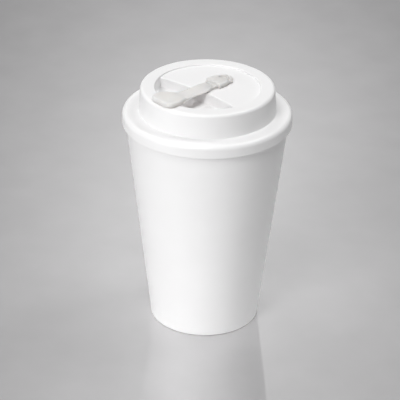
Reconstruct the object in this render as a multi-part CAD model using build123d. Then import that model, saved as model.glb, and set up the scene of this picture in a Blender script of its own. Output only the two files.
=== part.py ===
from build123d import *
import os
from math import degrees, sqrt

# A double wall cup with a push-on lid and a silicone stopper.
# Millimetres, +Z up, origin at the centre of the base, sip side towards -Y.

# Outer shell: a tapered beaker with a foot ring and a stepped-in neck
base_diameter = 62.4
shoulder_diameter = 92.5
shoulder_height = 123.5
shell_wall = 1.8
base_thickness = 2.0
base_edge_round = 1.2
shoulder_edge_round = 0.4
foot_ring_width = 3.2
foot_recess_depth = 1.5
neck_set_in = 1.25
neck_height = 5.7
neck_wall = 1.6

# Inner cup: a liner that hangs from the neck and leaves an air gap all round
rim_width = 4.1
rim_thickness = 1.8
rim_edge_round = 0.7
liner_wall = 1.5
side_air_gap = 2.9
floor_air_gap = 4.0
mouth_land_height = 12.0
liner_floor_round = 7.0
locating_collar_height = 2.6
locating_clearance = 0.15

# Lid: one moulding with a skirt, a flange, a collar and a sealing wall
flange_overhang = 2.2
flange_thickness = 2.2
flange_fall = 0.15
flange_ledge = 9.35
skirt_wall = 1.9
skirt_gap = 0.3
skirt_top_round = 2.8
collar_rise = 14.3
collar_draft = 0.8
collar_top_round = 2.0
lid_wall = 1.8
deck_drop = 1.1
rim_band = 8.2
lip_round = 0.7
sealing_wall_gap = 2.0
sealing_wall_depth = 10.4

# Finger recess: a well between the rim and the deck's curved front edge
recess_depth = 6.6
recess_offset = 5.7
recess_curve = 150.0
recess_turn = 4.0
recess_floor_round = 1.2
recess_corner_round = 1.5
deck_edge_round = 1.2

# Sip slot in the rim and the hole that holds the stopper
slot_inset = 3.3
slot_width = 3.4
slot_length = 11.0
anchor_distance = 12.8
anchor_hole_diameter = 4.6

# Seal: a soft ring with two lips in a groove of the sealing wall
seal_groove_depth = 0.9
seal_groove_height = 4.4
seal_groove_above_edge = 1.4
seal_clearance = 0.15
seal_lip_gap = 0.15
seal_lip_height = 1.3
seal_lip_tip = 0.5

# Stopper: a lobe over the slot, a strap across the recess, a fold line and a button
stopper_clearance = 0.3
stem_clearance = 0.1
lobe_set_back = 0.9
lobe_depth = 8.0
lobe_width = 17.0
lobe_thickness = 3.1
lobe_front_round = 4.5
lobe_back_round = 5.0
lobe_taper_length = 7.0
strap_width = 8.4
strap_thickness = 2.2
strap_flare = 6.0
strap_rise_length = 13.0
soft_edge_round = 1.0
fold_behind_centre = 1.4
fold_groove_depth = 0.7
fold_land = 2.6
block_width = 11.4
block_thickness = 3.2
block_corner_round = 3.6
button_diameter = 10.2
button_thickness = 2.4
dimple_diameter = 5.4
dimple_depth = 0.8
bulb_overlap = 0.9
bulb_height = 2.4
bulb_round = 1.2
plug_depth = 4.4
plug_draft = 9.0

# Radii that follow from the sizes above, from the shell inwards
base_radius = base_diameter / 2
shoulder_radius = shoulder_diameter / 2
neck_radius = shoulder_radius - neck_set_in
neck_inner_radius = neck_radius - neck_wall
mouth_radius = neck_radius - rim_width
liner_floor_radius = base_radius - shell_wall - side_air_gap - liner_wall
sealing_wall_radius = mouth_radius - sealing_wall_gap
flange_radius = shoulder_radius + flange_overhang
collar_base_radius = flange_radius - flange_ledge
collar_top_radius = collar_base_radius - collar_draft
lip_radius = collar_top_radius - rim_band
slot_radius = lip_radius + slot_inset
lobe_outer_radius = collar_top_radius - lobe_set_back
anchor_hole_radius = anchor_hole_diameter / 2
bulb_radius = anchor_hole_radius + bulb_overlap
body_taper = (shoulder_radius - base_radius) / shoulder_height

# Heights that follow from the sizes above, from the base upwards
liner_floor_height = foot_recess_depth + base_thickness + floor_air_gap + liner_wall
skirt_edge = shoulder_height + skirt_gap
rim_height = shoulder_height + neck_height
rim_underside = rim_height - rim_thickness
flange_top = rim_height + flange_thickness
sealing_edge = rim_height - sealing_wall_depth
seal_low = sealing_edge + seal_groove_above_edge
lid_height = flange_top + collar_rise
deck_height = lid_height - deck_drop
deck_underside = deck_height - lid_wall
recess_floor = deck_height - recess_depth
strap_top = deck_height + strap_thickness
above_lid = lid_height + 2 * lobe_thickness


def turned(corners):
    # A ring or bowl from its half section: (radius, height) or (radius, height, rounding)
    section = make_face(Polyline(*[corner[:2] for corner in corners], close=True))
    for corner in corners:
        if len(corner) == 3:
            vertex = section.vertices().sort_by_distance((corner[0], corner[1], 0))[0]
            section = fillet(vertex, corner[2])
    return revolve(Plane.XZ * section, Axis.Z)


def shell_radius(height):
    # Outside radius of the tapered body at a height
    return base_radius + body_taper * height


def make_outer_shell():
    inner_floor = foot_recess_depth + base_thickness
    step_in = shoulder_height - shell_wall
    neck_step = shell_radius(step_in) - shell_wall - neck_inner_radius
    return turned([
        (0, foot_recess_depth),
        (base_radius - foot_ring_width - foot_recess_depth, foot_recess_depth),
        (base_radius - foot_ring_width, 0),
        (base_radius, 0, base_edge_round),
        (shoulder_radius, shoulder_height, shoulder_edge_round),
        (neck_radius, shoulder_height),
        (neck_radius, rim_underside),
        (neck_inner_radius, rim_underside),
        (neck_inner_radius, step_in),
        (neck_inner_radius + neck_step, step_in - 1.5 * neck_step),
        (shell_radius(inner_floor) - shell_wall, inner_floor, base_thickness),
        (0, inner_floor),
    ])


def make_inner_cup():
    land_foot = rim_height - mouth_land_height
    outer_mouth = mouth_radius + liner_wall
    collar_radius = neck_inner_radius - locating_clearance
    collar_foot = rim_underside - locating_collar_height
    return turned([
        (0, liner_floor_height),
        (liner_floor_radius, liner_floor_height, liner_floor_round),
        (mouth_radius, land_foot),
        (mouth_radius, rim_height, rim_edge_round),
        (neck_radius, rim_height, rim_edge_round),
        (neck_radius, rim_underside),
        (collar_radius, rim_underside),
        (collar_radius, collar_foot),
        (outer_mouth, collar_foot - (collar_radius - outer_mouth)),
        (outer_mouth, land_foot),
        (liner_floor_radius + liner_wall, liner_floor_height - liner_wall, liner_floor_round + liner_wall),
        (0, liner_floor_height - liner_wall),
    ])


def make_lid_bowl():
    # Skirt, flange, collar, rim, deck and sealing wall as one turned section
    skirt_inner = flange_radius - skirt_wall
    sealing_inner = sealing_wall_radius - lid_wall
    collar_inner_top = collar_top_radius - lid_wall
    groove_bottom = sealing_wall_radius - seal_groove_depth
    groove_top = seal_low + seal_groove_height
    return turned([
        (0, deck_underside),
        (collar_inner_top, deck_underside),
        (sealing_inner, rim_height),
        (sealing_inner, sealing_edge),
        (sealing_wall_radius, sealing_edge),
        (sealing_wall_radius, seal_low),
        (groove_bottom, seal_low),
        (groove_bottom, groove_top),
        (sealing_wall_radius, groove_top),
        (sealing_wall_radius, rim_height),
        (skirt_inner, rim_height),
        (skirt_inner, skirt_edge),
        (flange_radius, skirt_edge),
        (flange_radius, flange_top - flange_fall, skirt_top_round),
        (collar_base_radius, flange_top),
        (collar_top_radius, lid_height, collar_top_round),
        (lip_radius, lid_height, lip_round),
        (lip_radius, deck_height),
        (0, deck_height),
    ])


def recess_outline(grow=0.0):
    # Plan of the finger recess, grown outwards by a wall thickness if asked
    sip_side = Rot(0, 0, recess_turn) * Pos(0, -recess_offset - recess_curve, 0)
    front = sip_side * Circle(recess_curve + grow)
    return Circle(lip_radius + grow) & front


def sip_slot(shrink=0.0):
    # Curved slot that follows the rim, made smaller all round if asked
    sweep = degrees((slot_length - slot_width) / slot_radius)
    middle_line = CenterArc((0, 0), slot_radius, -90 - sweep / 2, sweep)
    return SlotArc(middle_line, slot_width - 2 * shrink)


def make_lid():
    well_depth = above_lid - recess_floor
    tub = Pos(0, 0, recess_floor - lid_wall) * extrude(
        recess_outline(lid_wall), recess_depth + lid_wall / 2)
    well = Pos(0, 0, recess_floor) * extrude(recess_outline(), well_depth)
    upright = well.edges().filter_by(Axis.Z)
    well = fillet(upright, recess_corner_round)
    floor_edges = well.faces().sort_by(Axis.Z)[0].edges()
    well = fillet(floor_edges, recess_floor_round)
    slot = Pos(0, 0, deck_underside - lid_wall) * extrude(sip_slot(), above_lid - deck_underside)
    hole = Pos(0, anchor_distance, deck_underside - lid_wall) * extrude(
        Circle(anchor_hole_radius), above_lid - deck_underside)
    lid = make_lid_bowl() + tub - well - slot - hole
    return soften_lid(lid)


def soften_lid(lid):
    # Round on the deck's front edge, where a finger slides into the recess
    deck_edge = [edge for edge in lid.edges()
                 if edge.geom_type == GeomType.CIRCLE
                 and abs(edge.center().Z - deck_height) < 0.01
                 and abs(edge.radius - recess_curve) < 0.01]
    return fillet(deck_edge, deck_edge_round)


def make_lid_seal():
    lip_reach = mouth_radius - seal_lip_gap
    back = sealing_wall_radius - seal_groove_depth + seal_clearance
    face = sealing_wall_radius
    low = seal_low + seal_clearance
    high = seal_low + seal_groove_height - seal_clearance
    middle = (low + high) / 2
    return turned([
        (back, low),
        (face, low),
        (lip_reach, low + seal_lip_height - seal_lip_tip),
        (lip_reach, low + seal_lip_height),
        (face, middle - seal_lip_tip / 2),
        (face, middle + seal_lip_tip / 2),
        (lip_reach, high - seal_lip_tip),
        (lip_reach, high),
        (face, high),
        (back, high),
    ])


def corners_at(outline, x, y):
    # The two corners of an outline at x to the left and right of the middle
    return [vertex for vertex in outline.vertices()
            if abs(vertex.Y - y) < 0.1 and abs(abs(vertex.X) - x) < 0.1]


def stopper_outline():
    # Plan of the lobe and the strap: the lobe is widest by the rim and tapers into the strap
    back = lobe_depth - lobe_outer_radius
    taper_end = back + lobe_taper_length
    strap_end = fold_behind_centre + soft_edge_round
    front_corner = -sqrt(lobe_outer_radius ** 2 - (lobe_width / 2) ** 2)
    right_side = [(lobe_width / 2, -lobe_outer_radius), (lobe_width / 2, back),
                  (strap_width / 2, taper_end), (strap_width / 2, strap_end)]
    left_side = [(-x, y) for x, y in reversed(right_side)]
    outline = make_face(Polyline(*right_side, *left_side, close=True)) & Circle(lobe_outer_radius)
    outline = fillet(corners_at(outline, lobe_width / 2, front_corner), lobe_front_round)
    outline = fillet(corners_at(outline, lobe_width / 2, back), lobe_back_round)
    return fillet(corners_at(outline, strap_width / 2, taper_end), strap_flare)


def stopper_side():
    # Side section: flat along the deck below, with a top that sweeps up from the strap to the lobe
    lobe_top = lid_height + lobe_thickness
    rise_end = lobe_depth - lobe_outer_radius
    rise_start = rise_end + strap_rise_length
    halfway = strap_rise_length / 2
    top = Bezier(
        (rise_start, strap_top), (rise_start - halfway, strap_top),
        (rise_end + halfway, lobe_top), (rise_end, lobe_top))
    rest = Polyline(
        (rise_end, lobe_top), (-lobe_outer_radius - 1, lobe_top), (-lobe_outer_radius - 1, deck_height),
        (fold_behind_centre, deck_height), (fold_behind_centre, strap_top), (rise_start, strap_top))
    return make_face(Curve() + [top, rest])


def fold_groove():
    # Shallow V across the strap where it folds; the fold line is level with the strap's top
    half = fold_groove_depth
    notch = make_face(Polyline(
        (-half, 0), (0, -fold_groove_depth), (half, 0), (half, half), (-half, half), close=True))
    return Pos(strap_width, fold_behind_centre, strap_top) * extrude(
        Plane.YZ * notch, -2 * strap_width)


def rim_space():
    # The room that the lid's raised rim takes under the lobe, with the clearance inside its lip
    ring = Circle(lobe_outer_radius + lid_wall) - Circle(lip_radius - stopper_clearance)
    return Pos(0, 0, lid_height) * extrude(ring, -lid_wall)


def make_stopper():
    stopper = Pos(0, 0, deck_underside) * extrude(stopper_outline(), above_lid - deck_underside)
    stopper = stopper & Pos(-lobe_width, 0, 0) * extrude(Plane.YZ * stopper_side(), 2 * lobe_width)
    upper_edges = [edge for edge in stopper.edges()
                   if edge.bounding_box().min.Z > strap_top - 0.01
                   and abs(edge.tangent_at(0.5).X) < 0.999]
    stopper = fillet(upper_edges, soft_edge_round)
    plug = Pos(0, 0, lid_height) * extrude(sip_slot(stopper_clearance), -plug_depth, taper=plug_draft)
    return stopper - rim_space() + plug - fold_groove()


def make_stopper_anchor():
    fold_end = fold_behind_centre + fold_land
    root_plan = Pos(0, (fold_behind_centre + anchor_distance) / 2) * Rectangle(
        strap_width, anchor_distance - fold_behind_centre)
    root = extrude(root_plan, strap_thickness)
    block_plan = Pos(0, (fold_end + anchor_distance) / 2) * Rectangle(
        block_width, anchor_distance - fold_end)
    block_plan = fillet(block_plan.vertices().sort_by(Axis.Y)[2:], block_corner_round)
    block = extrude(block_plan, block_thickness)
    block = fillet(block.faces().sort_by(Axis.Z)[-1].edges(), soft_edge_round)
    button = extrude(Circle(button_diameter / 2), button_thickness)
    button = fillet(button.faces().sort_by(Axis.Z)[-1].edges(), soft_edge_round)
    dimple = Pos(0, 0, button_thickness - dimple_depth) * extrude(
        Circle(dimple_diameter / 2), block_thickness)
    stem = extrude(Circle(anchor_hole_radius - stem_clearance), -lid_wall)
    bulb = Pos(0, 0, -lid_wall) * extrude(Circle(bulb_radius), -bulb_height)
    bulb = fillet(bulb.faces().sort_by(Axis.Z)[0].edges(), bulb_round)
    anchor = root + block + Pos(0, anchor_distance, 0) * (button + stem + bulb)
    anchor = anchor - Pos(0, anchor_distance, 0) * dimple
    return Pos(0, 0, deck_height) * anchor - fold_groove()


def main():
    os.makedirs("parts", exist_ok=True)
    pieces = {
        "outer_shell": make_outer_shell(),
        "inner_cup": make_inner_cup(),
        "lid": make_lid(),
        "lid_seal": make_lid_seal(),
        "stopper": make_stopper(),
        "stopper_anchor": make_stopper_anchor(),
    }
    for name, piece in pieces.items():
        export_step(piece, f"parts/{name}.step")


main()
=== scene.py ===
import math

import bmesh
import bpy
from mathutils import Matrix, Vector


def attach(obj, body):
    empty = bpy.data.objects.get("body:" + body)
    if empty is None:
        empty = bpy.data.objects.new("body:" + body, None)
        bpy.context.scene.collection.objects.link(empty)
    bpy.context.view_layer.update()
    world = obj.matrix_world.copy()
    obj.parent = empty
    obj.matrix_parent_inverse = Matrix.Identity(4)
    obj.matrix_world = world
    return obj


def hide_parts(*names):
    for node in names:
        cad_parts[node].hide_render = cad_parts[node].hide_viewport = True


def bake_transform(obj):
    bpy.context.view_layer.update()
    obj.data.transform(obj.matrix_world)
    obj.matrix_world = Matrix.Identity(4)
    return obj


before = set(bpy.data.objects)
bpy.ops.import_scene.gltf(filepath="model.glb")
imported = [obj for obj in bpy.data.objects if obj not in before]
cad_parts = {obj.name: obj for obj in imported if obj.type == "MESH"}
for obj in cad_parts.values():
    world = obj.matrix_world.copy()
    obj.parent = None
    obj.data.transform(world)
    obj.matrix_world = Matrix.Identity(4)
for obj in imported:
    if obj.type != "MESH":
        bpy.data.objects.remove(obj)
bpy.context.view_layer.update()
scene = bpy.context.scene
mm = 0.001      # the sizes below are in millimetres, the scene is in metres
tiny = 1e-6
viewSide = 46.0      # degrees round the cup from its sip side to the camera
print("frame loaded:", sorted(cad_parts))


# Mesh helpers shared by all the pieces

def evenSteps(first, last, steps):
    return [first + (last - first) * k / steps for k in range(steps + 1)]


def roundedProfile(corners, stepDegrees=9.0):
    # corners are (radius, height) or (radius, height, rounding); each rounding becomes an arc
    points = []
    for i, corner in enumerate(corners):
        here = Vector(corner[:2])
        if len(corner) == 2:
            points.append(here)
            continue
        toLast = (Vector(corners[i - 1][:2]) - here).normalized()
        toNext = (Vector(corners[(i + 1) % len(corners)][:2]) - here).normalized()
        half = toLast.angle(toNext) / 2
        centre = here + (toLast + toNext).normalized() * (corner[2] / math.sin(half))
        start = here + toLast * (corner[2] / math.tan(half)) - centre
        end = here + toNext * (corner[2] / math.tan(half)) - centre
        turn = math.atan2(start.x * end.y - start.y * end.x, start.dot(end))
        steps = max(2, math.ceil(abs(math.degrees(turn)) / stepDegrees))
        for a in evenSteps(0, turn, steps):
            points.append(centre + Vector((start.x * math.cos(a) - start.y * math.sin(a),
                                           start.x * math.sin(a) + start.y * math.cos(a))))
    return points


def quarterTurn(steps=8):
    # along a quarter round of radius one: how far it has gone across, and the drop that is left
    return [(1 - math.cos(a), 1 - math.sin(a)) for a in evenSteps(0, math.radians(90), steps)]


def fullTurn(segments):
    return evenSteps(0, 2 * math.pi, segments)[:-1]


def turnedRing(radius, height, angles):
    if radius < tiny:
        return [(0.0, 0.0, height)]      # a pole
    return [(radius * math.cos(a), radius * math.sin(a), height) for a in angles]


def addObject(name, data):
    added = bpy.data.objects.new(name, data)
    scene.collection.objects.link(added)
    return added


def skinnedMesh(name, rings, around=False):
    # joins each ring to the next with quads; a ring of one point closes an end
    build = bmesh.new()
    loops = [[build.verts.new(Vector(p) * mm) for p in ring] for ring in rings]
    pairs = list(zip(loops, loops[1:])) + ([(loops[-1], loops[0])] if around else [])
    for low, high in pairs:
        count = max(len(low), len(high))
        for i in range(count):
            j = (i + 1) % count
            if len(low) == 1:
                build.faces.new((low[0], high[j], high[i]))
            elif len(high) == 1:
                build.faces.new((low[i], low[j], high[0]))
            else:
                build.faces.new((low[i], low[j], high[j], high[i]))
    bmesh.ops.remove_doubles(build, verts=build.verts, dist=tiny)
    bmesh.ops.recalc_face_normals(build, faces=build.faces)
    mesh = bpy.data.meshes.new(name)
    build.to_mesh(mesh)
    build.free()
    return addObject(name, mesh)


def applyModifiers(piece):
    graph = bpy.context.evaluated_depsgraph_get()
    fresh = bpy.data.meshes.new_from_object(
        piece.evaluated_get(graph), preserve_all_data_layers=True, depsgraph=graph)
    piece.modifiers.clear()
    piece.data = fresh


def cutAway(piece, cutter):
    cut = piece.modifiers.new("cut", "BOOLEAN")
    cut.operation = "DIFFERENCE"
    cut.solver = "EXACT"
    cut.object = cutter
    applyModifiers(piece)
    bpy.data.objects.remove(cutter)


def smoothShading(piece, sharpDegrees=42.0):
    # smooth faces, hard edges where the form has them, and normals that follow the large faces
    build = bmesh.new()
    build.from_mesh(piece.data)
    for face in build.faces:
        face.smooth = True
    for edge in build.edges:
        edge.smooth = edge.calc_face_angle(0.0) < math.radians(sharpDegrees)
    build.to_mesh(piece.data)
    build.free()
    weighted = piece.modifiers.new("weighted", "WEIGHTED_NORMAL")
    weighted.keep_sharp = True
    applyModifiers(piece)


def turnedPiece(name, corners, segments=240):
    profile = roundedProfile(corners)
    angles = fullTurn(segments)
    rings = [turnedRing(p.x, p.y, angles) for p in profile]
    closed = len(rings[0]) > 1       # a profile with no point on the axis closes on itself
    piece = skinnedMesh(name, rings, around=closed)
    smoothShading(piece)
    return piece


def dress(piece, material):
    piece.data.materials.clear()
    piece.data.materials.append(material)


def place(piece, body, node, material):
    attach(piece, body)
    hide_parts(node)
    dress(piece, material)


# Materials

def startMaterial(name):
    material = bpy.data.materials.new(name)
    material.use_nodes = True
    nodes = material.node_tree.nodes
    shader = nodes["Principled BSDF"]
    coords = nodes.new("ShaderNodeTexCoord").outputs["Object"]
    return material, nodes, material.node_tree.links, shader, coords


def noiseNode(nodes, links, coords, size, detail=2.0):
    # size is the width of one blotch in millimetres
    noise = nodes.new("ShaderNodeTexNoise")
    noise.inputs["Scale"].default_value = 1.0 / (size * mm)
    noise.inputs["Detail"].default_value = detail
    links.new(coords, noise.inputs["Vector"])
    return noise.outputs["Fac"]


def rangeNode(nodes, links, value, low, high, fromLow=0.3, fromHigh=0.7):
    # a noise stays mostly between 0.3 and 0.7, so those are the ends by default
    spread = nodes.new("ShaderNodeMapRange")
    spread.inputs["From Min"].default_value = fromLow
    spread.inputs["From Max"].default_value = fromHigh
    spread.inputs["To Min"].default_value = low
    spread.inputs["To Max"].default_value = high
    links.new(value, spread.inputs["Value"])
    return spread.outputs["Result"]


def mixColour(nodes, links, share, first, second):
    # second is a colour, or the output of another node
    mix = nodes.new("ShaderNodeMix")
    mix.data_type = "RGBA"
    mix.inputs["A"].default_value = (*first, 1)
    if isinstance(second, bpy.types.NodeSocket):
        links.new(second, mix.inputs["B"])
    else:
        mix.inputs["B"].default_value = (*second, 1)
    links.new(share, mix.inputs["Factor"])
    return mix.outputs["Result"]


def mathNode(nodes, links, operation, first, second):
    # second is a number, or the output of another node
    maths = nodes.new("ShaderNodeMath")
    maths.operation = operation
    links.new(first, maths.inputs[0])
    if isinstance(second, bpy.types.NodeSocket):
        links.new(second, maths.inputs[1])
    else:
        maths.inputs[1].default_value = second
    return maths.outputs["Value"]


def bumpNode(nodes, links, height, depth, under=None):
    # depth is the height of the bumps in millimetres
    bump = nodes.new("ShaderNodeBump")
    bump.inputs["Distance"].default_value = depth * mm
    links.new(height, bump.inputs["Height"])
    if under is not None:
        links.new(under, bump.inputs["Normal"])
    return bump.outputs["Normal"]


plasticLook = {
    "light": (0.888, 0.885, 0.887),
    "shade": (0.870, 0.866, 0.868),
    "roughness": (0.34, 0.42),
    "blotch": 26.0,
    "flow": 9.0, "flowDepth": 0.010,        # slow unevenness of a moulded wall
    "grain": 0.34, "grainDepth": 0.0022, "grainDetail": 3.0,       # satin grain of the mould
}


def satinPlastic(name, look):
    material, nodes, links, shader, coords = startMaterial(name)
    blotch = rangeNode(nodes, links, noiseNode(nodes, links, coords, look["blotch"]), 0, 1)
    links.new(mixColour(nodes, links, blotch, look["light"], look["shade"]), shader.inputs["Base Color"])
    grain = noiseNode(nodes, links, coords, look["grain"], look["grainDetail"])
    links.new(rangeNode(nodes, links, grain, *look["roughness"]), shader.inputs["Roughness"])
    flow = bumpNode(nodes, links, noiseNode(nodes, links, coords, look["flow"]), look["flowDepth"])
    links.new(bumpNode(nodes, links, grain, look["grainDepth"], flow), shader.inputs["Normal"])
    return material


siliconeLook = {
    "light": (0.985, 0.925, 0.895),
    "shade": (0.965, 0.900, 0.865),
    "roughness": (0.52, 0.64), "shine": 0.3,
    "scatter": 1.0, "scatterReach": 6.0, "scatterTint": (0.9, 0.95, 1.0),       # reach in millimetres
    "clear": 0.20, "bending": 1.41,
    "blotch": 6.0,
    "grain": 0.22, "grainDepth": 0.003,
}


def softSilicone(name, look):
    material, nodes, links, shader, coords = startMaterial(name)
    blotch = rangeNode(nodes, links, noiseNode(nodes, links, coords, look["blotch"]), 0, 1)
    links.new(mixColour(nodes, links, blotch, look["light"], look["shade"]), shader.inputs["Base Color"])
    grain = noiseNode(nodes, links, coords, look["grain"])
    links.new(rangeNode(nodes, links, grain, *look["roughness"]), shader.inputs["Roughness"])
    links.new(bumpNode(nodes, links, grain, look["grainDepth"]), shader.inputs["Normal"])
    shader.inputs["Specular IOR Level"].default_value = look["shine"]
    shader.inputs["Transmission Weight"].default_value = look["clear"]
    shader.inputs["IOR"].default_value = look["bending"]
    shader.inputs["Subsurface Weight"].default_value = look["scatter"]
    shader.inputs["Subsurface Scale"].default_value = look["scatterReach"] * mm
    shader.inputs["Subsurface Radius"].default_value = look["scatterTint"]
    return material


shellPlastic = satinPlastic("shellPlastic", plasticLook)
linerPlastic = satinPlastic("linerPlastic", plasticLook)
lidPlastic = satinPlastic("lidPlastic", plasticLook)
silicone = softSilicone("silicone", siliconeLook)
print("materials made")


# Outer shell: tapered beaker with a foot ring and a neck

shellSizes = {
    "baseRadius": 31.2, "shoulderRadius": 46.25, "shoulderHeight": 123.5,
    "wall": 1.8, "floor": 2.0, "footRing": 3.2, "footRecess": 1.5,
    "neckRadius": 45.0, "neckWall": 1.6, "neckTop": 127.4, "neckSlope": 1.5,      # drop per step in, inside
    "recessRound": 0.6, "footRound": 0.4, "baseRound": 1.2, "shoulderRound": 0.4, "floorRound": 2.0,
}


def makeShell(s):
    taper = (s["shoulderRadius"] - s["baseRadius"]) / s["shoulderHeight"]

    def insideAt(height):
        return s["baseRadius"] + taper * height - s["wall"]

    innerFloor = s["footRecess"] + s["floor"]
    stepIn = s["shoulderHeight"] - s["wall"]
    neckInner = s["neckRadius"] - s["neckWall"]
    neckStep = insideAt(stepIn) - neckInner
    footInner = s["baseRadius"] - s["footRing"]
    return turnedPiece("cupShell", [
        (0, s["footRecess"]),
        (footInner - s["footRecess"], s["footRecess"], s["recessRound"]),
        (footInner, 0, s["footRound"]),
        (s["baseRadius"], 0, s["baseRound"]),
        (s["shoulderRadius"], s["shoulderHeight"], s["shoulderRound"]),
        (s["neckRadius"], s["shoulderHeight"]),
        (s["neckRadius"], s["neckTop"]),
        (neckInner, s["neckTop"]),
        (neckInner, stepIn),
        (neckInner + neckStep, stepIn - s["neckSlope"] * neckStep),
        (insideAt(innerFloor), innerFloor, s["floorRound"]),
        (0, innerFloor),
    ])


place(makeShell(shellSizes), "cup", "outer_shell", shellPlastic)


# Inner cup: the liner that hangs from the neck by its rim

linerSizes = {
    "floorRadius": 25.0, "floorHeight": 9.0, "floorRound": 7.0, "wall": 1.5,
    "mouthRadius": 40.9, "landFoot": 117.2, "landRound": 4.0,
    "rimTop": 129.2, "rimThickness": 1.8, "rimRadius": 45.0, "rimRound": 0.7,
    "collarRadius": 43.25, "collarFoot": 124.8,
}


def makeLiner(s):
    outer = s["mouthRadius"] + s["wall"]
    rimUnder = s["rimTop"] - s["rimThickness"]
    return turnedPiece("cupLiner", [
        (0, s["floorHeight"]),
        (s["floorRadius"], s["floorHeight"], s["floorRound"]),
        (s["mouthRadius"], s["landFoot"], s["landRound"]),
        (s["mouthRadius"], s["rimTop"], s["rimRound"]),
        (s["rimRadius"], s["rimTop"], s["rimRound"]),
        (s["rimRadius"], rimUnder),
        (s["collarRadius"], rimUnder),
        (s["collarRadius"], s["collarFoot"]),
        (outer, s["collarFoot"] - (s["collarRadius"] - outer)),
        (outer, s["landFoot"]),
        (s["floorRadius"] + s["wall"], s["floorHeight"] - s["wall"], s["floorRound"] + s["wall"]),
        (0, s["floorHeight"] - s["wall"]),
    ])


place(makeLiner(linerSizes), "cup", "inner_cup", linerPlastic)
print("shell and liner made")


# Lid: one skin from the tub's underside, over the skirt, flange and collar, to the recess floor

lidSizes = {
    "wall": 1.8, "top": 145.7, "deck": 144.6,
    "skirtRadius": 48.43, "skirtWall": 1.9, "skirtEdge": 123.8, "skirtTop": 131.25, "skirtTopRound": 2.8,
    "flangeTop": 131.4, "flangeUnder": 129.2, "edgeRound": 0.4, "innerEdgeRound": 0.3,
    "collarBase": 39.1, "collarTop": 38.3, "collarTopRound": 2.0, "collarFootRound": 0.5,
    "underReach": 4.0, "underRound": 1.0,       # flat ring under the collar, before the tub starts
    "lipRadius": 30.1, "lipRound": 0.5, "deckFillet": 0.25, "filletFade": 10,
    "sealingRadius": 38.9, "sealingEdge": 118.8,
    "grooveDepth": 0.9, "grooveLow": 120.2, "grooveHeight": 4.4,
    "recessDepth": 6.6, "recessOffset": 5.7, "recessCurve": 150.0, "recessTurn": 4.0,
    "floorRound": 1.2, "cornerRound": 0.3, "cornerLeast": 0.2, "deckEdgeRound": 0.8, "tubRound": 1.6,
    "slotInset": 3.3, "slotWidth": 3.4, "slotLength": 11.0,
    "holeDistance": 12.8, "holeDiameter": 4.6, "openingFlare": 0.3,
    "lipSteps": 132, "cornerSteps": 8, "deckSteps": 60, "holeSteps": 64,
}


def angleOf(v):
    return math.atan2(v.y, v.x)


def arcPoints(centre, radius, first, last, steps):
    return [(centre.x + radius * math.cos(a), centre.y + radius * math.sin(a))
            for a in evenSteps(first, last, steps)]


def atHeight(loop, height):
    return [(x, y, height) for x, y in loop]


def recessCorners(s, growLip, growDeck, corner):
    # centres of the deck edge's large circle and of the two corner rounds
    turn = math.radians(s["recessTurn"])
    reach = s["recessOffset"] + s["recessCurve"]
    big = Vector((reach * math.sin(turn), -reach * math.cos(turn)))
    lip = s["lipRadius"] + growLip - corner
    deck = s["recessCurve"] + growDeck - corner
    along = (lip ** 2 - deck ** 2 + reach ** 2) / (2 * reach)
    across = math.sqrt(lip ** 2 - along ** 2)
    toBig = big.normalized()
    side = Vector((-toBig.y, toBig.x))
    return big, toBig * along + side * across, toBig * along - side * across


def recessLoop(s, growLip=0.0, growDeck=0.0, corner=None):
    # anticlockwise from the left corner, round the lip's sip side, to the right corner and back along the deck
    corner = s["cornerRound"] if corner is None else corner
    big, right, left = recessCorners(s, growLip, growDeck, corner)
    lipLeft, lipRight = angleOf(left), angleOf(right)
    if lipLeft > lipRight:
        lipLeft -= 2 * math.pi
    deckRight, deckLeft = angleOf(right - big), angleOf(left - big)
    lip = arcPoints(Vector((0, 0)), s["lipRadius"] + growLip, lipLeft, lipRight, s["lipSteps"])
    rightCorner = arcPoints(right, corner, lipRight, deckRight, s["cornerSteps"])
    deck = arcPoints(big, s["recessCurve"] + growDeck, deckRight, deckLeft, s["deckSteps"])
    leftCorner = arcPoints(left, corner, deckLeft, lipLeft + 2 * math.pi, s["cornerSteps"])
    return lip + rightCorner[1:-1] + deck + leftCorner[1:-1], lipLeft, lipRight


def recessRing(s, height, growLip=0.0, growDeck=0.0, corner=None):
    return atHeight(recessLoop(s, growLip, growDeck, corner)[0], height)


def lidAngles(s):
    # the lip's own angles on the sip side, then even steps round the back
    loop, first, last = recessLoop(s, growDeck=s["deckEdgeRound"])
    back = len(loop) - s["lipSteps"]
    return evenSteps(first, last, s["lipSteps"]) + evenSteps(last, 2 * math.pi + first, back)[1:-1]


def filletRings(s, angles):
    # the hollow round where the lip meets the deck; it shrinks to nothing at the recess
    rings = []
    for across, drop in quarterTurn(6):
        ring = []
        for i, angle in enumerate(angles):
            past = min(i - s["lipSteps"], len(angles) - i) / s["filletFade"]
            size = s["deckFillet"] * min(max(past, 0), 1)
            radius = s["lipRadius"] - size * across
            ring.append((radius * math.cos(angle), radius * math.sin(angle), s["deck"] + size * drop))
        rings.append(ring)
    return rings


def tubRings(s):
    # the recess from below: a tub that hangs under the deck
    under = s["deck"] - s["wall"]
    bottom = under - s["recessDepth"]
    rings = [recessRing(s, under, s["wall"], s["wall"], s["cornerRound"] + s["wall"])]
    for across, drop in quarterTurn():
        grow = s["wall"] - s["tubRound"] * across
        rings.append(recessRing(s, bottom + s["tubRound"] * drop, grow, grow, s["cornerRound"] + grow))
    return rings


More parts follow.
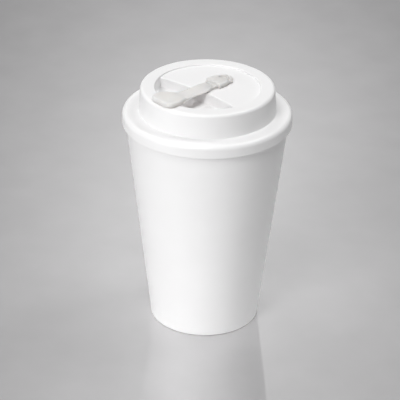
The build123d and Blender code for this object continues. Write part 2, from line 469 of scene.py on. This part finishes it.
def wellRings(s):
    # from the deck over its rounded front edge, down the wall and into the floor
    bottom = s["deck"] - s["recessDepth"]
    rings = []
    for across, drop in quarterTurn():
        rings.append(recessRing(s, s["deck"] - s["deckEdgeRound"] * across, growDeck=s["deckEdgeRound"] * drop))
    for across, drop in quarterTurn():
        grow = -s["floorRound"] * across
        corner = max(s["cornerRound"] + grow, s["cornerLeast"])
        rings.append(recessRing(s, bottom + s["floorRound"] * drop, grow, grow, corner))
    return rings


def closeRing(ring, steps=4):
    # flat rings that shrink to the middle of a convex loop, then one point
    x, y = (sum(p[k] for p in ring) / len(ring) for k in (0, 1))
    height = ring[0][2]
    inner = [[(x + (p[0] - x) * (1 - k / steps), y + (p[1] - y) * (1 - k / steps), height) for p in ring]
             for k in range(1, steps)]
    return inner + [[(x, y, height)]]


def makeLidSkin(s):
    skirtInner = s["skirtRadius"] - s["skirtWall"]
    sealingInner = s["sealingRadius"] - s["wall"]
    grooveBottom = s["sealingRadius"] - s["grooveDepth"]
    grooveTop = s["grooveLow"] + s["grooveHeight"]
    under = s["deck"] - s["wall"]
    collarInner = s["collarTop"] - s["wall"]
    corners = [
        (collarInner - s["underReach"], under),
        (collarInner, under, s["underRound"]),
        (sealingInner, s["flangeUnder"]),
        (sealingInner, s["sealingEdge"], s["edgeRound"]),
        (s["sealingRadius"], s["sealingEdge"], s["edgeRound"]),
        (s["sealingRadius"], s["grooveLow"]),
        (grooveBottom, s["grooveLow"]),
        (grooveBottom, grooveTop),
        (s["sealingRadius"], grooveTop),
        (s["sealingRadius"], s["flangeUnder"]),
        (skirtInner, s["flangeUnder"], s["edgeRound"]),
        (skirtInner, s["skirtEdge"], s["innerEdgeRound"]),
        (s["skirtRadius"], s["skirtEdge"], s["edgeRound"]),
        (s["skirtRadius"], s["skirtTop"], s["skirtTopRound"]),
        (s["collarBase"], s["flangeTop"], s["collarFootRound"]),
        (s["collarTop"], s["top"], s["collarTopRound"]),
        (s["lipRadius"], s["top"], s["lipRound"]),
        (s["lipRadius"], s["deck"] + s["deckFillet"]),
    ]
    angles = lidAngles(s)
    turned = [turnedRing(p.x, p.y, angles) for p in roundedProfile(corners)]
    tub = tubRings(s)
    well = wellRings(s)
    below = closeRing(tub[-1])[::-1] + tub[::-1]
    return skinnedMesh("lidMoulding", below + turned + filletRings(s, angles) + well + closeRing(well[-1]))


def slotOutline(s, grow=0.0, endSteps=14, sideSteps=24):
    # a slot that follows the rim: an outer arc, a round end, an inner arc and a round end
    radius = s["lipRadius"] + s["slotInset"]
    half = s["slotWidth"] / 2 + grow
    sweep = (s["slotLength"] - s["slotWidth"]) / radius
    left, right = -math.pi / 2 - sweep / 2, -math.pi / 2 + sweep / 2
    origin = Vector((0, 0))
    rightEnd = Vector((radius * math.cos(right), radius * math.sin(right)))
    leftEnd = Vector((radius * math.cos(left), radius * math.sin(left)))
    outer = arcPoints(origin, radius + half, left, right, sideSteps)
    rightTurn = arcPoints(rightEnd, half, right, right + math.pi, endSteps)
    inner = arcPoints(origin, radius - half, right, left, sideSteps)
    leftTurn = arcPoints(leftEnd, half, left + math.pi, left + 2 * math.pi, endSteps)
    return outer + rightTurn[1:-1] + inner + leftTurn[1:-1]


def holeOutline(s, grow=0.0):
    centre = Vector((0, s["holeDistance"]))
    return arcPoints(centre, s["holeDiameter"] / 2 + grow, 0, 2 * math.pi, s["holeSteps"])[:-1]


def openingCutter(name, s, outline, top, below=4.5, above=3.0):
    # straight through the wall, with a small flare where it meets the top
    flare = s["openingFlare"]
    rings = [atHeight(outline(s), s["deck"] - below), atHeight(outline(s), top - flare)]
    for across, drop in quarterTurn(5)[1:]:
        rings.append(atHeight(outline(s, flare * across), top - flare * drop))
    rings.append(atHeight(outline(s, flare), top + above))
    return skinnedMesh(name, closeRing(rings[0])[::-1] + rings + closeRing(rings[-1]))


def makeLid(s):
    lid = makeLidSkin(s)
    cutAway(lid, openingCutter("slotCutter", s, slotOutline, s["top"]))
    cutAway(lid, openingCutter("holeCutter", s, holeOutline, s["deck"]))
    smoothShading(lid)
    return lid


lidMoulding = makeLid(lidSizes)
place(lidMoulding, "lid", "lid", lidPlastic)
print("lid made:", len(lidMoulding.data.polygons), "faces")


# Seal: the silicone ring in the groove of the sealing wall

sealSizes = {
    "back": 38.15, "face": 38.9, "lips": 40.75, "low": 120.35, "high": 124.45,
    "lipHeight": 1.3, "tip": 0.5, "round": 0.2, "rootRound": 0.3,
}


def makeSeal(s):
    middle = (s["low"] + s["high"]) / 2
    return turnedPiece("lidSealRing", [
        (s["back"], s["low"], s["round"]),
        (s["face"], s["low"], s["rootRound"]),
        (s["lips"], s["low"] + s["lipHeight"] - s["tip"], s["round"]),
        (s["lips"], s["low"] + s["lipHeight"], s["round"]),
        (s["face"], middle - s["tip"] / 2, s["round"]),
        (s["face"], middle + s["tip"] / 2, s["round"]),
        (s["lips"], s["high"] - s["tip"], s["round"]),
        (s["lips"], s["high"], s["round"]),
        (s["face"], s["high"]),
        (s["back"], s["high"], s["round"]),
    ])


place(makeSeal(sealSizes), "lid", "lid_seal", silicone)
print("seal made")


# Stopper: one silicone moulding from the lobe to the button, remeshed from the two solids

stopperSizes = {
    "weld": 1e-4, "voxel": 0.2, "smoothFactor": 0.5, "smoothTimes": 6,
    "strapTop": 146.8, "strapThickness": 2.2, "strapHalf": 4.2, "strapEnds": (-30.0, -1.5),
    "edgeFrom": 1.0, "edgeLift": 1.2, "edgeReach": 1.6, "edgeFade": (6.0, 3.0),
    "foldY": 1.4, "foldSpread": 1.1,
}


def joinedSolids(name, nodeNames, weld):
    # the solids of one moulding as one mesh, in millimetres
    whole = bmesh.new()
    for nodeName in nodeNames:
        whole.from_mesh(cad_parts[nodeName].data)
    bmesh.ops.scale(whole, vec=(1 / mm,) * 3, verts=whole.verts)
    bmesh.ops.remove_doubles(whole, verts=whole.verts, dist=weld)
    joined = bpy.data.meshes.new(name)
    whole.to_mesh(joined)
    whole.free()
    return joined


def thinEdge(point, s):
    # the strap thins towards the edge that the recess shows: it is lifted from below and drawn outwards,
    # less and less towards the strap's ends
    start, end = s["strapEnds"]
    startFade, endFade = s["edgeFade"]
    along = min((point.y - start) / startFade, (end - point.y) / endFade)
    across = min(max((point.x - s["edgeFrom"]) / (s["strapHalf"] - s["edgeFrom"]), 0), 1)
    share = across ** 2 * min(max(along, 0), 1)
    below = min(max((s["strapTop"] - point.z) / s["strapThickness"], 0), 1)
    point.z += share * s["edgeLift"] * below
    point.x += share * s["edgeReach"]


def makeStopper(s):
    solids = joinedSolids("stopperMoulding", ("stopper", "stopper_anchor"), s["weld"])
    moulding = addObject("stopperMoulding", solids)
    remesh = moulding.modifiers.new("remesh", "REMESH")
    remesh.mode = "VOXEL"
    remesh.voxel_size = s["voxel"]
    soften = moulding.modifiers.new("soften", "SMOOTH")
    soften.factor = s["smoothFactor"]
    soften.iterations = s["smoothTimes"]
    applyModifiers(moulding)
    for corner in moulding.data.vertices:
        thinEdge(corner.co, s)
    moulding.data.transform(Matrix.Scale(mm, 4))
    for face in moulding.data.polygons:
        face.use_smooth = True
    return moulding


stopper = makeStopper(stopperSizes)
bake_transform(stopper)
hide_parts("stopper", "stopper_anchor")
dress(stopper, silicone)
print("stopper made:", len(stopper.data.polygons), "faces")


# Stage: floor, light and camera

floorLook = {
    "radius": 6000.0, "height": -0.02, "segments": 96,       # millimetres, as the pieces above
    # the seen and mirror colours paint a pool of light on the floor: light at the centre, painted shade towards
    # the edge
    "seenPaintedLight": (0.70, 0.694, 0.70), "seenPaintedShade": (0.13, 0.128, 0.13),
    "bounce": (0.82, 0.82, 0.82),       # what the cup gets back from the floor
    "mirrorPaintedLight": (1.0, 0.995, 1.0), "mirrorPaintedShade": (0.272, 0.268, 0.272),
    "mirrorShare": 0.55, "mirrorRoughness": (0.30, 0.05),       # for bounced light, and as seen
    "paintedPoolAt": (-0.088, 0.089), "paintedPoolReach": (0.43, 1.18),       # metres
    "paintedPoolLeast": 0.2,       # the painted light falls no lower than this, so that the far floor stays as pale as the edge of the picture
    "mottle": 30.0, "mottleDepth": 0.02, "mottleDetail": 3.0,
}


def seenShare(nodes, links):
    # one for rays that the viewer sees directly, in a mirror or through glass
    path = nodes.new("ShaderNodeLightPath")
    share = path.outputs["Is Camera Ray"]
    for name in ("Is Glossy Ray", "Is Transmission Ray"):
        share = mathNode(nodes, links, "MAXIMUM", share, path.outputs[name])
    return share


def paintedLightPoolNode(nodes, links, coords, look):
    # painted light on the floor: one behind the cup, falling away over a long oval, with faint blotches
    mapping = nodes.new("ShaderNodeMapping")
    mapping.vector_type = "TEXTURE"
    mapping.inputs["Location"].default_value = (*look["paintedPoolAt"], 0)
    mapping.inputs["Rotation"].default_value = (0, 0, math.radians(viewSide))
    mapping.inputs["Scale"].default_value = (*look["paintedPoolReach"], 1)
    links.new(coords, mapping.inputs["Vector"])
    oval = nodes.new("ShaderNodeTexGradient")
    oval.gradient_type = "QUADRATIC_SPHERE"
    links.new(mapping.outputs["Vector"], oval.inputs["Vector"])
    paintedPool = mathNode(nodes, links, "MAXIMUM", oval.outputs["Fac"], look["paintedPoolLeast"])
    mottle = noiseNode(nodes, links, coords, look["mottle"], look["mottleDetail"])
    uneven = rangeNode(nodes, links, mottle, -look["mottleDepth"], look["mottleDepth"])
    return mathNode(nodes, links, "ADD", paintedPool, uneven)


def floorSheet(name, look):
    material, nodes, links, shader, coords = startMaterial(name)
    nodes.remove(shader)
    seen = seenShare(nodes, links)
    paintedPool = paintedLightPoolNode(nodes, links, coords, look)
    # painted pool of light: the floor as seen, and its mirror, are lighter behind the cup and darker far away
    seenPaintedColour = mixColour(nodes, links, paintedPool, look["seenPaintedShade"], look["seenPaintedLight"])
    sheet = nodes.new("ShaderNodeBsdfDiffuse")
    links.new(mixColour(nodes, links, seen, look["bounce"], seenPaintedColour), sheet.inputs["Color"])
    mirror = nodes.new("ShaderNodeBsdfGlossy")
    mirrorPaintedColour = mixColour(nodes, links, paintedPool, look["mirrorPaintedShade"], look["mirrorPaintedLight"])
    links.new(mirrorPaintedColour, mirror.inputs["Color"])
    roughness = rangeNode(nodes, links, seen, *look["mirrorRoughness"], fromLow=0, fromHigh=1)
    links.new(roughness, mirror.inputs["Roughness"])
    both = nodes.new("ShaderNodeMixShader")
    both.inputs["Fac"].default_value = look["mirrorShare"]
    links.new(sheet.outputs["BSDF"], both.inputs[1])
    links.new(mirror.outputs["BSDF"], both.inputs[2])
    links.new(both.outputs["Shader"], nodes["Material Output"].inputs["Surface"])
    return material


def makeFloor(look):
    edge = turnedRing(look["radius"], look["height"], fullTurn(look["segments"]))
    ground = skinnedMesh("floor", [edge, [(0, 0, look["height"])]])
    ground.data.materials.append(floorSheet("floorSheet", look))


worldLook = {"light": 0.03, "seen": 0.77}


def makeWorld(look):
    world = bpy.data.worlds.new("studio")
    scene.world = world
    world.use_nodes = True
    nodes, links = world.node_tree.nodes, world.node_tree.links
    light = nodes["Background"]
    seen = nodes.new("ShaderNodeBackground")
    for background, strength in ((light, look["light"]), (seen, look["seen"])):
        background.inputs["Color"].default_value = (1, 1, 1, 1)
        background.inputs["Strength"].default_value = strength
    mix = nodes.new("ShaderNodeMixShader")
    links.new(seenShare(nodes, links), mix.inputs["Fac"])
    links.new(light.outputs["Background"], mix.inputs[1])
    links.new(seen.outputs["Background"], mix.inputs[2])
    links.new(mix.outputs["Shader"], nodes["World Output"].inputs["Surface"])


def directionFrom(azimuth, elevation):
    a, e = math.radians(azimuth), math.radians(elevation)
    return Vector((math.sin(a) * math.cos(e), -math.cos(a) * math.cos(e), math.sin(e)))


lampSet = {
    "distance": 2.5, "size": 0.9, "aim": (0, 0, 0.09),       # metres
    "lamps": {       # degrees round from the camera, degrees up, and watts
        "frontLamp": (-30, 36, 22.8), "leftLamp": (-55, 3, 21.0), "highLamp": (-8, 60, 17.9),
        "rearRightLamp": (115, 60, 21.4), "rearLeftLamp": (-138, 60, 14.3),
    },
}


def makeLamps(look):
    for name, (side, height, power) in look["lamps"].items():
        lamp = bpy.data.lights.new(name, "AREA")
        lamp.shape = "DISK"
        lamp.size = look["size"]
        lamp.energy = power
        away = directionFrom(viewSide + side, height)
        holder = addObject(name, lamp)
        holder.location = Vector(look["aim"]) + away * look["distance"]
        holder.rotation_euler = away.to_track_quat("Z", "Y").to_euler()


cameraSet = {
    "distance": 1.391, "aimHeight": 0.0729, "farEnd": 30.0,       # metres
    "elevation": 27.76, "yaw": -0.140, "roll": 0.973,       # degrees
    "lens": 216.0, "sensor": 36.0,       # millimetres
}


def makeCamera(look):
    data = bpy.data.cameras.new("camera")
    data.lens = look["lens"]
    data.sensor_width = look["sensor"]
    data.clip_end = look["farEnd"]
    back = directionFrom(viewSide, look["elevation"])
    a = math.radians(viewSide)
    right = Vector((math.cos(a), math.sin(a), 0))
    up = back.cross(right)
    yaw, roll = math.radians(look["yaw"]), math.radians(look["roll"])
    backTurned = back * math.cos(yaw) - right * math.sin(yaw)
    rightTurned = right * math.cos(yaw) + back * math.sin(yaw)
    rightRolled = rightTurned * math.cos(roll) + up * math.sin(roll)
    upRolled = up * math.cos(roll) - rightTurned * math.sin(roll)
    camera = addObject("camera", data)
    camera.matrix_world = Matrix((rightRolled, upRolled, backTurned)).transposed().to_4x4()
    camera.location = Vector((0, 0, look["aimHeight"])) + back * look["distance"]
    scene.camera = camera


makeFloor(floorLook)
makeWorld(worldLook)
makeLamps(lampSet)
makeCamera(cameraSet)
scene.view_settings.view_transform = "Standard"
print("stage ready")
